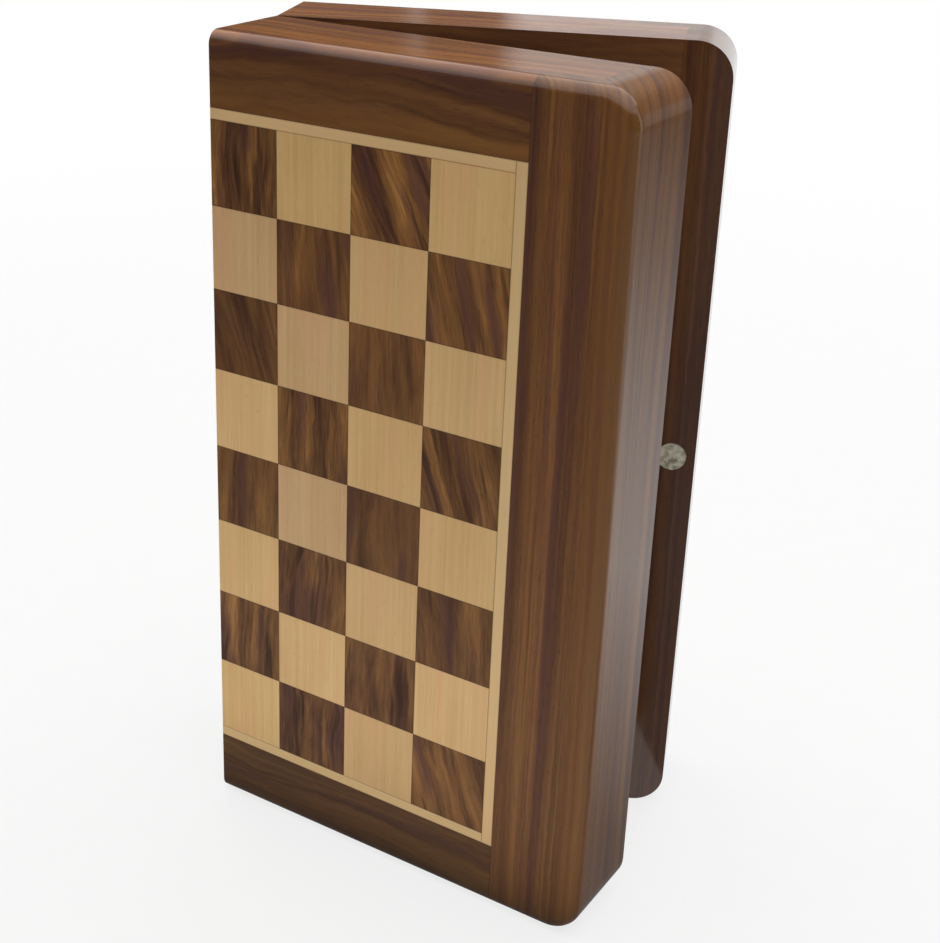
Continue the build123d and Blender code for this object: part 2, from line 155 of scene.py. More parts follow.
class Shader:
    """A material's node tree, built one node at a time; a method gives back its result."""

    def __init__(self, name):
        self.material = bpy.data.materials.new(name)
        self.material.use_nodes = True
        self.tree = self.material.node_tree
        self.tree.nodes.clear()

    def add(self, kind, inputs=None, **settings):
        node = self.tree.nodes.new(kind)
        for key, value in settings.items():
            setattr(node, key, value)
        for key, value in (inputs or {}).items():
            if isinstance(value, bpy.types.NodeSocket):
                self.tree.links.new(value, node.inputs[key])
            else:
                node.inputs[key].default_value = value
        return node

    def math(self, operation, first, second=0.0, third=0.0):
        inputs = {0: first, 1: second, 2: third}
        return self.add("ShaderNodeMath", inputs, operation=operation).outputs[0]

    def vary(self, share, spread, least):
        """least where the share is 0, and spread more than that where it is 1."""
        return self.math("MULTIPLY_ADD", share, spread, least)

    def weigh(self, parts, shares):
        """Noises added up, each by its share, and moved so that they swing about zero."""
        total = self.math("MULTIPLY", parts[0], shares[0])
        for part, share in zip(parts[1:], shares[1:]):
            total = self.math("MULTIPLY_ADD", part, share, total)
        return self.math("SUBTRACT", total, NOISE_MIDDLE)

    def vector(self, operation, first, second):
        inputs = {0: first, 1: second}
        return self.add("ShaderNodeVectorMath", inputs, operation=operation).outputs[0]

    def distance(self, first, second):
        inputs = {0: first, 1: second}
        return self.add("ShaderNodeVectorMath", inputs, operation="DISTANCE").outputs["Value"]

    def split(self, vector):
        return self.add("ShaderNodeSeparateXYZ", {0: vector}).outputs[:3]

    def join(self, x=0.0, y=0.0, z=0.0):
        return self.add("ShaderNodeCombineXYZ", {0: x, 1: y, 2: z}).outputs[0]

    def noise(self, vector, detail=2.0, roughness=0.5, distortion=0.0, output="Fac"):
        inputs = {
            "Vector": vector,
            "Scale": 1.0,
            "Detail": detail,
            "Roughness": roughness,
            "Distortion": distortion,
        }
        return self.add("ShaderNodeTexNoise", inputs).outputs[output]

    def scaled_noise(self, point, scale, **settings):
        """Noise with scale cycles for each unit of the point, along its three axes."""
        return self.noise(self.vector("MULTIPLY", point, scale), **settings)

    def cells(self, point, scale):
        inputs = {"Vector": self.vector("MULTIPLY", point, scale), "Scale": 1.0}
        return self.add("ShaderNodeTexVoronoi", inputs).outputs["Distance"]

    def random(self, vector):
        """A random colour, one and the same wherever the vector is."""
        inputs = {"Vector": vector}
        return self.add("ShaderNodeTexWhiteNoise", inputs, noise_dimensions="3D").outputs["Color"]

    def fade(self, value, start, end, low=0.0, high=1.0):
        """A smooth step from low, where the value is at start, to high at end."""
        inputs = {"Value": value, 1: start, 2: end, 3: low, 4: high}
        node = self.add("ShaderNodeMapRange", inputs, interpolation_type="SMOOTHSTEP")
        return node.outputs[0]

    def ramp(self, value, stops):
        node = self.add("ShaderNodeValToRGB", {0: value})
        elements = node.color_ramp.elements
        elements[0].position, elements[0].color = stops[0]
        elements[1].position, elements[1].color = stops[-1]
        for position, colour in stops[1:-1]:
            elements.new(position).color = colour
        return node.outputs[0]

    def mix(self, share, first, second, blend="MIX"):
        """Two colours mixed. The node has more sockets of the same names, so these go by number."""
        inputs = {0: share, 6: first, 7: second}
        node = self.add("ShaderNodeMix", inputs, data_type="RGBA", blend_type=blend)
        return node.outputs[2]

    def tint(self, colour, by):
        """A colour multiplied by another."""
        return self.mix(1.0, colour, by, "MULTIPLY")

    def bump(self, height, depth_mm, strength):
        inputs = {"Height": height, "Distance": depth_mm * MM, "Strength": strength}
        return self.add("ShaderNodeBump", inputs).outputs[0]

    def surface(self, **inputs):
        """The closing shader; socket names have underscores in place of spaces."""
        named = {key.replace("_", " "): value for key, value in inputs.items()}
        shader = self.add("ShaderNodeBsdfPrincipled", named)
        output = self.add("ShaderNodeOutputMaterial")
        self.tree.links.new(shader.outputs[0], output.inputs[0])
        return self.material

    def row_place(self):
        """The point at rest, in metres, in the row frame."""
        return self.add("ShaderNodeTexCoord").outputs["Object"]

    def row_place_mm(self):
        """The point at rest, in millimetres, in the row frame."""
        return self.vector("MULTIPLY", self.row_place(), (1 / MM,) * 3)

    def own_place(self, half):
        """The point in its half's own millimetres."""
        from_hinge = self.vector("SUBTRACT", self.row_place(), tuple(HINGE))
        if half == "near":
            return self.vector("MULTIPLY", from_hinge, (1 / MM,) * 3)
        inputs = {
            "Vector": from_hinge,
            "Location": (0, 0, HEIGHT),
            "Rotation": (0, 0, OPEN_ANGLE),
            "Scale": (1 / MM, -1 / MM, -1 / MM),
        }
        return self.add("ShaderNodeMapping", inputs).outputs[0]


# Woods
#
# Scales of noise are cycles in a millimetre: across, into and along the grain. Lines are (width,
# length) in millimetres. Fades are (start, end, level at start, level at end), as Shader.fade
# takes them; the last ones may be left out. Bumps are (depth in millimetres, strength).
# Roughnesses, levels and contrasts in pairs are (spread, least), as Shader.vary takes them.
# GLUE_LINE is how far from its seam, in millimetres, a glue line starts and stops to fade.

LACQUER_ROUGHNESS = 0.1
LACQUER_IOR = 1.5
LACQUER_WAVES_PER_M = (60, 60, 60)
LACQUER_BUMP = (0.1, 0.35)
TIMBER_BUMP = (0.015, 0.5)
TIMBER_ROUGHNESS = (0.2, 0.42)
TIMBER_SPECULAR = 0.15
PORE_SINK = -0.7
GLUE_LINE = (0.06, 0.3)

ROSEWOOD = [
    (0.0, tone(46, 27, 18)),
    (0.22, tone(66, 40, 24)),
    (0.42, tone(88, 57, 31)),
    (0.58, tone(103, 69, 36)),
    (0.76, tone(122, 84, 43)),
    (1.0, tone(148, 106, 56)),
]
ROSEWOOD_PURPLE = tone(76, 47, 42)
ROSEWOOD_OLIVE = tone(114, 83, 38)
ROSEWOOD_GOLD = tone(104, 67, 33)
ROSEWOOD_PORE = tone(38, 22, 13)
GLUE = tone(58, 36, 16)
MAPLE = [
    (0.0, tone(178, 139, 92)),
    (0.5, tone(194, 158, 109)),
    (1.0, tone(207, 173, 126)),
]
MAPLE_BLUSH = tone(203, 153, 113)
MAPLE_FLECK = tone(164, 118, 68)
STRING_TONE = tone(202, 172, 122)
STRING_GLUE = tone(92, 60, 32)

RING_DRIFT = (0.026, 0.026, 0.011)
ROSEWOOD_RIPPLE = (0.1, 0.1, 0.07)
ROSEWOOD_RIPPLE_MM = 2.4
ROSEWOOD_FIBRE = (2.3, 2.3, 0.16)
ROSEWOOD_PORES = (4.0, 4.0, 0.25)
ROSEWOOD_SHARES = (0.44, 0.36, 0.2)
BAND_RUNS = 3.2
HUE_BANDS, HUE_RUNS = 0.9, 2.4
INK_BANDS, INK_RUNS = 0.5, 2.0
PURPLE_FADE = (0.52, 0.64, 0.0, 0.62)
OLIVE_FADE = (0.47, 0.36, 0.0)
INK_FADE = (0.57, 0.66, 0.0, 0.2)
PORE_FADE = (0.58, 0.7)
PORE_SHADE = 0.32

MAPLE_CLOUD = (0.06, 0.06, 0.02)
MAPLE_FIBRE = (3.2, 3.2, 0.13)
MAPLE_FLECKS = (0.9, 0.9, 0.45)
MAPLE_PATCHES = (0.14, 0.14, 0.012)
MAPLE_LINES = (1.5, 160.0)
MAPLE_SHARES = (0.46, 0.34, 0.2)
MAPLE_CONTRAST = 2.1
FLECK_FADE = (0.6, 0.72, 0.0, 0.2)
BLUSH_FADE = (0.5, 0.66, 0.0, 0.35)


def grain_axes(shader, own, grain):
    """(across, deep, along): the point with its third number along the grain."""
    x, y, z = shader.split(own)
    return shader.join(x, y, z) if grain == "z" else shader.join(z, y, x)


def rings(shader, point, pith, wander, curl):
    """How far a point is from the heart of the tree, along rings that wander slowly."""
    slow = (RING_DRIFT[0], RING_DRIFT[1], RING_DRIFT[2] * curl)
    drift = shader.scaled_noise(point, slow, output="Color")
    drift = shader.vector("SUBTRACT", drift, (NOISE_MIDDLE,) * 3)
    drift = shader.vector("MULTIPLY", drift, (2 * wander, 2 * wander, 0))
    across, deep, along = shader.split(shader.vector("ADD", point, drift))
    return shader.distance(shader.join(across, deep), (*pith, 0)), along


def streaks(shader, ring, along, width, length, seed, detail=2.0, roughness=0.5):
    """Noise drawn out along the grain: width across it and length along it, in millimetres."""
    ring_part = shader.math("DIVIDE", ring, width)
    along_part = shader.math("DIVIDE", along, length)
    place = shader.join(ring_part, along_part, seed)
    return shader.noise(place, detail=detail, roughness=roughness)


def rosewood_figure(shader, point, pith, seed, contrast, wander, curl, band, vein, run, olive):
    """Colour, fibre and pores of a solid block of streaky rosewood, from its grain axes.

    pith is where the heart of the tree is; wander and curl bend its rings. band and vein are the
    widths of broad and fine streaks, and run is a vein's length, in millimetres. olive is how much
    of the greenish tone shows.
    """
    ripple = shader.scaled_noise(point, ROSEWOOD_RIPPLE, output="Color")
    ripple = shader.vector("SUBTRACT", ripple, (NOISE_MIDDLE,) * 3)
    ripple = shader.vector("MULTIPLY", ripple, (ROSEWOOD_RIPPLE_MM * curl,) * 3)
    ring, along = rings(shader, shader.vector("ADD", point, ripple), pith, wander, curl)
    bands = streaks(shader, ring, along, band, BAND_RUNS * run, seed)
    veins = streaks(shader, ring, along, vein, run, seed + 3, detail=3.0, roughness=0.55)
    fibre = shader.scaled_noise(point, ROSEWOOD_FIBRE, detail=3, roughness=0.65)
    figure = shader.weigh((bands, veins, fibre), ROSEWOOD_SHARES)
    colour = shader.ramp(shader.vary(figure, contrast, NOISE_MIDDLE), ROSEWOOD)
    hue = streaks(shader, ring, along, HUE_BANDS * band, HUE_RUNS * run, seed + 6)
    colour = shader.mix(shader.fade(hue, *PURPLE_FADE), colour, ROSEWOOD_PURPLE)
    colour = shader.mix(shader.fade(hue, *OLIVE_FADE, olive), colour, ROSEWOOD_OLIVE)
    ink = (INK_BANDS * band, INK_RUNS * run)
    ink = streaks(shader, ring, along, *ink, seed + 9, roughness=0.55)
    ink = shader.math("MULTIPLY", shader.fade(ink, *INK_FADE), contrast)
    colour = shader.mix(ink, colour, ROSEWOOD[0][1])
    pores = shader.scaled_noise(point, ROSEWOOD_PORES, detail=2, roughness=0.6)
    pores = shader.fade(pores, *PORE_FADE)
    colour = shader.mix(shader.math("MULTIPLY", pores, PORE_SHADE), colour, ROSEWOOD_PORE)
    return colour, fibre, pores


def lacquered(shader, colour, fibre, pores):
    """Closes a wood: satin timber under a thin, level lacquer with a slight long wave."""
    height = shader.math("MULTIPLY_ADD", pores, PORE_SINK, fibre)
    waves = shader.scaled_noise(shader.row_place(), LACQUER_WAVES_PER_M, detail=1)
    return shader.surface(
        Base_Color=colour,
        Roughness=shader.vary(pores, *TIMBER_ROUGHNESS),
        Normal=shader.bump(height, *TIMBER_BUMP),
        Specular_IOR_Level=TIMBER_SPECULAR,
        Coat_Weight=1.0,
        Coat_Roughness=LACQUER_ROUGHNESS,
        Coat_IOR=LACQUER_IOR,
        Coat_Normal=shader.bump(waves, *LACQUER_BUMP),
    )


def seam_lines(shader, own, seams):
    """1 on the thin glue line beside each seam, given as an axis and a place along it."""
    parts = dict(zip("xyz", shader.split(own)))
    line = 0.0
    for axis, place in seams:
        off = shader.math("ABSOLUTE", shader.math("SUBTRACT", parts[axis], place))
        line = shader.math("MAXIMUM", shader.fade(off, *GLUE_LINE, 1.0, 0.0), line)
    return line


# The far half's rails are darker and bluer: partly their own wood, partly a painted grey sheen.
HALF_WOOD_AND_SHEEN_TINT = {"near": None, "far": (0.82, 0.8, 1.25)}
STRIP_TINT = (1.2, 1.15, 0.9)
STRIP_GOLD = 0.45
SEAM_SHADE = 0.6
RAIL_CONTRAST = 1.7
# How far apart in the timber the rails of two seeds are cut, and how deep under the face or the
# rim a tint starts and stops to fade, in millimetres.
RAIL_LOTS = (37.0, 11.0, 83.0)
FACE_DEPTH = (0.4, 1.4)
STRIP_DEPTH = (1.2, 2.6)
RIM_DEPTH = (1.2, 0.2)


def rail(
    name,
    half,
    grain,
    pith,
    seed,
    seams=(),
    *,
    face,
    edge,
    rim=None,
    gold=None,
    contrast=RAIL_CONTRAST,
    **figure,
):
    """A border rail or a wall of rosewood.

    face, edge and rim tint the playing face, the outer edge and the rim. The edge tint is painted
    light: lighter on top faces, where light falls from above, and warmer on the side, where it
    reflects the floor. gold is an axis and the two places between which a lighter strip of the face
    fades in. figure is for rosewood_figure.
    """
    shader = Shader(name)
    own = shader.own_place(half)
    shift = tuple(lot * seed for lot in RAIL_LOTS)
    point = shader.vector("ADD", grain_axes(shader, own, grain), shift)
    centre = (pith[0] + shift[0], pith[1] + shift[1])
    colour, fibre, pores = rosewood_figure(shader, point, centre, seed, contrast, **figure)
    parts = dict(zip("xyz", shader.split(own)))
    on_face = shader.fade(parts["y"], *(FACE + depth for depth in FACE_DEPTH), 1.0, 0.0)
    # Off the playing face, the edge tint paints light from above on the top faces and a warm floor
    # reflection on the side.
    tint = shader.mix(on_face, (*edge, 1.0), (*face, 1.0))
    if rim is not None:
        on_rim = shader.fade(parts["y"], *(RIM - depth for depth in RIM_DEPTH))
        tint = shader.mix(on_rim, tint, (*rim, 1.0))
    if gold is not None:
        axis, start, end = gold
        on_strip = shader.fade(parts["y"], *(FACE + depth for depth in STRIP_DEPTH), 1.0, 0.0)
        share = shader.math("MULTIPLY", shader.fade(parts[axis], start, end), on_strip)
        tint = shader.mix(share, tint, (*STRIP_TINT, 1.0))
        colour = shader.mix(shader.math("MULTIPLY", share, STRIP_GOLD), colour, ROSEWOOD_GOLD)
    colour = shader.tint(colour, tint)
    # Far half: its own darker wood, with a painted grey sheen.
    if HALF_WOOD_AND_SHEEN_TINT[half] is not None:
        colour = shader.tint(colour, (*HALF_WOOD_AND_SHEEN_TINT[half], 1.0))
    if seams:
        line = shader.math("MULTIPLY", seam_lines(shader, own, seams), SEAM_SHADE)
        colour = shader.mix(line, colour, GLUE)
    return lacquered(shader, colour, fibre, pores)


def cell_place(shader, own):
    """Column and row of the square that a point is in, and how far it is from the nearest edge."""
    x, _, z = shader.split(own)
    column = shader.math("DIVIDE", shader.math("SUBTRACT", x, FIRST_COLUMN), SQUARE)
    row = shader.math("DIVIDE", shader.math("SUBTRACT", z, FIELD_LOW), SQUARE)
    edges = []
    for place in (column, row):
        middle = shader.math("ABSOLUTE", shader.math("SUBTRACT", shader.math("FRACT", place), 0.5))
        edges.append(shader.math("MULTIPLY", shader.math("SUBTRACT", 0.5, middle), SQUARE))
    index = shader.join(shader.math("FLOOR", column), 0.0, shader.math("FLOOR", row))
    return index, shader.math("MINIMUM", *edges)


# Squares are cut up to SQUARE_LOTS apart in the timber, in millimetres. TILT_SEED keeps a square's
# slant apart from its other random numbers, and MOST_TILT is in radians.
SQUARE_LOTS = (900, 300, 3000)
SQUARE_PITH = (-400.0, 200.0)
SQUARE_FIGURE = {
    "wander": 7.0,
    "curl": 1.2,
    "band": 8.0,
    "vein": 2.1,
    "run": 26.0,
    "olive": 0.28,
}
TILT_SEED = 50
MOST_TILT = 0.5
DARK_CONTRAST = (2.0, 1.6)
DARK_LEVEL = (0.35, 0.98)
DARK_GREEN, DARK_BLUE = 0.95, 0.85
DARK_GLUE = (*GLUE_LINE, 0.7, 0.0)
LIGHT_LEVEL = (0.14, 0.9)
LIGHT_BLUE_LEVEL = (0.12, 0.86)
LIGHT_GLUE = (0.04, 0.2, 0.5, 0.0)


def dark_square(name, half, seed):
    """Rosewood squares, each cut from another place, most nearly straight and some slanted."""
    shader = Shader(name)
    own = shader.own_place(half)
    index, edge = cell_place(shader, own)
    lot = shader.random(shader.vector("ADD", index, (seed, seed, seed)))
    slant = shader.random(shader.vector("ADD", index, (seed + TILT_SEED, 0, seed)))
    tilt = shader.math("SUBTRACT", shader.split(slant)[1], NOISE_MIDDLE)
    tilt = shader.math("POWER", shader.math("MULTIPLY", tilt, 2.0), 3.0)
    tilt = shader.math("MULTIPLY", tilt, MOST_TILT)
    inputs = {"Vector": own, "Axis": (0, 1, 0), "Angle": tilt}
    turned = shader.add("ShaderNodeVectorRotate", inputs).outputs[0]
    point = shader.vector("ADD", turned, shader.vector("MULTIPLY", lot, SQUARE_LOTS))
    contrast = shader.vary(shader.split(lot)[2], *DARK_CONTRAST)
    colour, fibre, pores = rosewood_figure(
        shader, point, SQUARE_PITH, seed, contrast, **SQUARE_FIGURE
    )
    level = shader.vary(shader.split(lot)[0], *DARK_LEVEL)
    green_level = shader.math("MULTIPLY", level, DARK_GREEN)
    blue_level = shader.math("MULTIPLY", level, DARK_BLUE)
    colour = shader.tint(colour, shader.join(level, green_level, blue_level))
    colour = shader.mix(shader.fade(edge, *DARK_GLUE), colour, GLUE)
    return lacquered(shader, colour, fibre, pores)


def maple_figure(shader, point, seed):
    """Colour, fibre and flecks of maple with faint straight lines along the grain."""
    across, _, along = shader.split(point)
    lines = streaks(shader, across, along, *MAPLE_LINES, seed, detail=3.0, roughness=0.65)
    cloud = shader.scaled_noise(point, MAPLE_CLOUD, detail=2)
    fibre = shader.scaled_noise(point, MAPLE_FIBRE, detail=3, roughness=0.6)
    figure = shader.weigh((lines, cloud, fibre), MAPLE_SHARES)
    colour = shader.ramp(shader.vary(figure, MAPLE_CONTRAST, NOISE_MIDDLE), MAPLE)
    flecks = shader.scaled_noise(point, MAPLE_FLECKS, detail=3, roughness=0.6)
    flecks = shader.fade(flecks, *FLECK_FADE)
    colour = shader.mix(flecks, colour, MAPLE_FLECK)
    blush = shader.scaled_noise(point, MAPLE_PATCHES, detail=1)
    colour = shader.mix(shader.fade(blush, *BLUSH_FADE), colour, MAPLE_BLUSH)
    return colour, fibre, flecks


def light_square(name, half, seed):
    """Maple squares, each with its own tone."""
    shader = Shader(name)
    own = shader.own_place(half)
    index, edge = cell_place(shader, own)
    lot = shader.random(shader.vector("ADD", index, (seed, seed, seed)))
    point = shader.vector("ADD", own, shader.vector("MULTIPLY", lot, SQUARE_LOTS))
    colour, fibre, pores = maple_figure(shader, point, seed)
    level = shader.vary(shader.split(lot)[2], *LIGHT_LEVEL)
    blue_level = shader.vary(shader.split(lot)[1], *LIGHT_BLUE_LEVEL)
    colour = shader.tint(colour, shader.join(level, level, blue_level))
    colour = shader.mix(shader.fade(edge, *LIGHT_GLUE), colour, GLUE)
    return lacquered(shader, colour, fibre, pores)


STRING_SEED = 4.0
STRING_EVENNESS = 0.5
STRING_SEAM_SHADE = 0.5


def string(name, half, grain, seams):
    """A maple string between the border and the field."""
    shader = Shader(name)
    own = shader.own_place(half)
    colour, fibre, pores = maple_figure(shader, grain_axes(shader, own, grain), STRING_SEED)
    colour = shader.mix(STRING_EVENNESS, colour, STRING_TONE)
    line = shader.math("MULTIPLY", seam_lines(shader, own, seams), STRING_SEAM_SHADE)
    colour = shader.mix(line, colour, STRING_GLUE)
    return lacquered(shader, colour, fibre, pores)


PLY_THICK = 1.1
PLY_FIBRE = (1.2, 1.2, 0.1)
PLY_FIBRE_SHARE = 0.5
PLY_FADE = (0.4, 0.7, 0.0, 0.5)
PLY_TONES = [(0.2, tone(150, 112, 72)), (0.8, tone(196, 160, 112))]
PLY_ROUGHNESS = (0.2, 0.6)
PLY_BUMP = (0.05, 0.6)


def plywood(name, half):
    """The board under the inlay: thin plies whose edges show as light and dark lines."""
    shader = Shader(name)
    own = shader.own_place(half)
    ply = shader.math("PINGPONG", shader.split(own)[1], PLY_THICK)
    fibre = shader.scaled_noise(own, PLY_FIBRE, detail=3)
    share = shader.math("MULTIPLY_ADD", fibre, PLY_FIBRE_SHARE, shader.fade(ply, *PLY_FADE))
    return shader.surface(
        Base_Color=shader.ramp(share, PLY_TONES),
        Roughness=shader.vary(fibre, *PLY_ROUGHNESS),
        Normal=shader.bump(fibre, *PLY_BUMP),
    )


# Metals, linings and men

BRASS_BRIGHT = tone(212, 174, 98)
BRASS_STAINED = tone(186, 146, 78)
BRASS_SCRATCHES = (9, 9, 0.7)
BRASS_STAIN = (0.11,) * 3
STAIN_FADE = (0.4, 0.75)
STAIN_ROUGHNESS = (0.08, 0.18)
SCRATCH_ROUGHNESS = 0.2
BRASS_BUMP = (0.01, 0.5)

NICKEL = [
    (0.36, tone(150, 142, 116)),
    (0.5, tone(212, 205, 182)),
    (0.62, tone(234, 229, 212)),
]
NICKEL_MOTTLE = (0.55,) * 3
NICKEL_SCUFFS = (4.0, 4.0, 1.0)
NICKEL_METALLIC = 0.35
NICKEL_ROUGHNESS = (0.35, 0.25)
NICKEL_BUMP = (0.03, 0.6)

VELVET_COLOUR = tone(44, 110, 70)
VELVET_DEEP = tone(22, 66, 41)
VELVET_SHEEN = tone(150, 205, 160)
VELVET_PILE = (2.6,) * 3
VELVET_PILE_SHARE = 0.3
VELVET_BRUSHED = (0.05,) * 3
BRUSHED_FADE = (0.3, 0.7, 0.3, 0.62)
VELVET_BUMP = (0.2, 0.7)

FELT_COLOUR = tone(40, 98, 62)
FELT_DEEP = tone(22, 62, 38)
FELT_FUZZ = (3.5,) * 3
FUZZ_FADE = (0.35, 0.65)
FELT_BUMP = (0.25, 0.8)

MEN_STREAKS = (0.5, 0.5, 0.03)
MEN_STREAK_SHARE = 0.75
MEN_FIBRE = (3.5, 3.5, 0.16)
MEN_FIBRE_SHARE = 0.3
MEN_PORES = (6, 6, 0.5)
MEN_PORE_FADE = (0.6, 0.7)
MEN_PORE_SHADE = 0.3
MEN_ROUGHNESS = (0.16, 0.3)
MEN_BUMP = (0.03, 0.5)
MEN_LOOKS = {
    "light": {
        "name": "boxwood_men",
        "half": "near",
        "stops": [
            (0.3, tone(190, 148, 92)),
            (0.5, tone(212, 172, 114)),
            (0.72, tone(226, 190, 134)),
        ],
        "pore_colour": tone(150, 108, 62),
        "coat": 0.2,
    },
    "dark": {
        "name": "rosewood_men",
        "half": "far",
        "stops": [
            (0.3, tone(46, 26, 19)),
            (0.5, tone(78, 44, 28)),
            (0.72, tone(112, 66, 38)),
        ],
        "pore_colour": tone(34, 20, 15),
        "coat": 0.18,
    },
}


def brass(name):
    """Rolled brass with fine scratches and a little tarnish."""
    shader = Shader(name)
    place = shader.row_place_mm()
    scratches = shader.scaled_noise(place, BRASS_SCRATCHES, detail=3)
    stain = shader.fade(shader.scaled_noise(place, BRASS_STAIN, detail=2), *STAIN_FADE)
    roughness = shader.vary(stain, *STAIN_ROUGHNESS)
    return shader.surface(
        Base_Color=shader.mix(stain, BRASS_BRIGHT, BRASS_STAINED),
        Metallic=1.0,
        Roughness=shader.math("MULTIPLY_ADD", scratches, SCRATCH_ROUGHNESS, roughness),
        Normal=shader.bump(scratches, *BRASS_BUMP),
    )


def nickel(name):
    """Dull nickel plate, mottled and a little worn."""
    shader = Shader(name)
    place = shader.row_place_mm()
    mottle = shader.scaled_noise(place, NICKEL_MOTTLE, detail=4, roughness=0.6)
    scuffs = shader.scaled_noise(place, NICKEL_SCUFFS, detail=3)
    return shader.surface(
        Base_Color=shader.ramp(mottle, NICKEL),
        Metallic=NICKEL_METALLIC,
        Roughness=shader.vary(mottle, *NICKEL_ROUGHNESS),
        Normal=shader.bump(shader.math("ADD", mottle, scuffs), *NICKEL_BUMP),
    )


def velvet(name):
    """Short pile that lies in soft patches and catches the light at a slant."""
    shader = Shader(name)
    place = shader.row_place_mm()
    pile = shader.cells(place, VELVET_PILE)
    brushed = shader.scaled_noise(place, VELVET_BRUSHED, detail=2, roughness=0.5)
    lying = shader.fade(brushed, *BRUSHED_FADE)
    share = shader.math("MULTIPLY_ADD", pile, VELVET_PILE_SHARE, lying)
    return shader.surface(
        Base_Color=shader.mix(share, VELVET_DEEP, VELVET_COLOUR),
        Roughness=0.95,
        Specular_IOR_Level=0.15,
        Sheen_Weight=0.55,
        Sheen_Roughness=0.4,
        Sheen_Tint=VELVET_SHEEN,
        Normal=shader.bump(shader.math("ADD", pile, brushed), *VELVET_BUMP),
    )


def felt(name):
    """Pressed wool with a fuzzy, slightly uneven face."""
    shader = Shader(name)
    place = shader.row_place_mm()
    fuzz = shader.scaled_noise(place, FELT_FUZZ, detail=5, roughness=0.7, distortion=1.5)
    return shader.surface(
        Base_Color=shader.mix(shader.fade(fuzz, *FUZZ_FADE), FELT_DEEP, FELT_COLOUR),
        Roughness=1.0,
        Specular_IOR_Level=0.1,
        Sheen_Weight=0.25,
        Sheen_Roughness=0.6,
        Normal=shader.bump(fuzz, *FELT_BUMP),
    )


def turned_wood(name, half, stops, pore_colour, coat):
    """The men's wood: close grain along each man, which lies along X in its half."""
    shader = Shader(name)
    own = shader.own_place(half)
    point = grain_axes(shader, own, "x")
    long_streaks = shader.scaled_noise(point, MEN_STREAKS, detail=3, roughness=0.6)
    fibre = shader.scaled_noise(point, MEN_FIBRE, detail=3)
    figure = shader.math("MULTIPLY", long_streaks, MEN_STREAK_SHARE)
    figure = shader.math("MULTIPLY_ADD", fibre, MEN_FIBRE_SHARE, figure)
    colour = shader.ramp(figure, stops)
    pores = shader.fade(shader.scaled_noise(point, MEN_PORES, detail=1), *MEN_PORE_FADE)
    colour = shader.mix(shader.math("MULTIPLY", pores, MEN_PORE_SHADE), colour, pore_colour)
    return shader.surface(
        Base_Color=colour,
        Roughness=shader.vary(fibre, *MEN_ROUGHNESS),
        Normal=shader.bump(fibre, *MEN_BUMP),
        Specular_IOR_Level=0.4,
        Coat_Weight=0.5,
        Coat_Roughness=coat,
    )


# Linings and felts


def finish_mesh(mesh, half, material, replaced):
    """Moves a mesh from its half's own frame to the row frame, and hangs it on its body."""
    mesh.data.transform(half_matrix(half))
    mesh.data.materials.append(material)
    mesh.data.update()
    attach(mesh, HALVES[half])
    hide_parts(*replaced)


def new_object(name, bm):
    """A mesh object from a bmesh, which it uses up."""
    bmesh.ops.recalc_face_normals(bm, faces=bm.faces)
    mesh = bpy.data.meshes.new(name)
    bm.to_mesh(mesh)
    bm.free()
    made = bpy.data.objects.new(name, mesh)
    bpy.context.scene.collection.objects.link(made)
    return made


# The lining's shape in millimetres: how far a rib's crown rises and how fast, how far an edge is
# rounded and how fully, how much a slot's wall leans, and where lines of its mesh lie from an edge.
LINING_CROWN = 0.45
LINING_CROWN_REACH = 2.2
LINING_EDGE = 1.4
LINING_ROUNDNESS = 2.4
LINING_DRAFT = 0.35
LINING_COARSE = 4.0
LINING_STEPS = [-3.2, -2.1, -1.4, -1.0, -0.7, -0.42, -0.2, -0.06]
LINING_STEPS += [0.0, 0.175, 0.35, 0.55, 0.85, 1.2, 1.75, 2.6]
SMALLEST_STEP = 0.05
SLOT_CORNER = 2.4


def slot_boxes(half):
    """X and Z limits of each slot: the gaps between a column's dividers."""
    columns = {}
    for low, high in loose_boxes(f"{half}_insert_dividers", half):
        columns.setdefault(round(low.x, 1), []).append((low, high))
    slots = []
    for dividers in columns.values():
        dividers.sort(key=lambda box: box[0].z)
        for below, above in pairwise(dividers):
            slots.append((below[0].x, below[1].x, below[1].z, above[0].z))
    return slots


def inside_slot(slots, x, z):
    """How far a point is inside the nearest slot's rounded outline, negative outside."""
    best = -math.inf
    for x0, x1, z0, z1 in slots:
        half_x = (x1 - x0) / 2 - SLOT_CORNER
        half_z = (z1 - z0) / 2 - SLOT_CORNER
        off_x = abs(x - (x0 + x1) / 2) - half_x
        off_z = abs(z - (z0 + z1) / 2) - half_z
        beyond = math.hypot(max(off_x, 0), max(off_z, 0)) + min(max(off_x, off_z), 0)
        best = max(best, SLOT_CORNER - beyond)
    return best


def lining_height(inside, edge, top, floor):
    """Height of the velvet at a point, from how far it is inside a slot and from the border."""
    if inside <= 0:
        away = min(-inside, edge)
        crown = LINING_CROWN * (1 - math.exp(-away / LINING_CROWN_REACH))
        drop = LINING_EDGE * max(0.0, 1 - away / LINING_EDGE) ** LINING_ROUNDNESS
        return top - LINING_CROWN + crown - drop
    wall_top = top - LINING_CROWN - LINING_EDGE
    wall_low = floor + LINING_EDGE
    if inside < LINING_DRAFT:
        return wall_top + (wall_low - wall_top) * inside / LINING_DRAFT
    share = min(1.0, (inside - LINING_DRAFT) / LINING_EDGE)
    return wall_low - LINING_EDGE * (1 - (1 - share) ** LINING_ROUNDNESS)


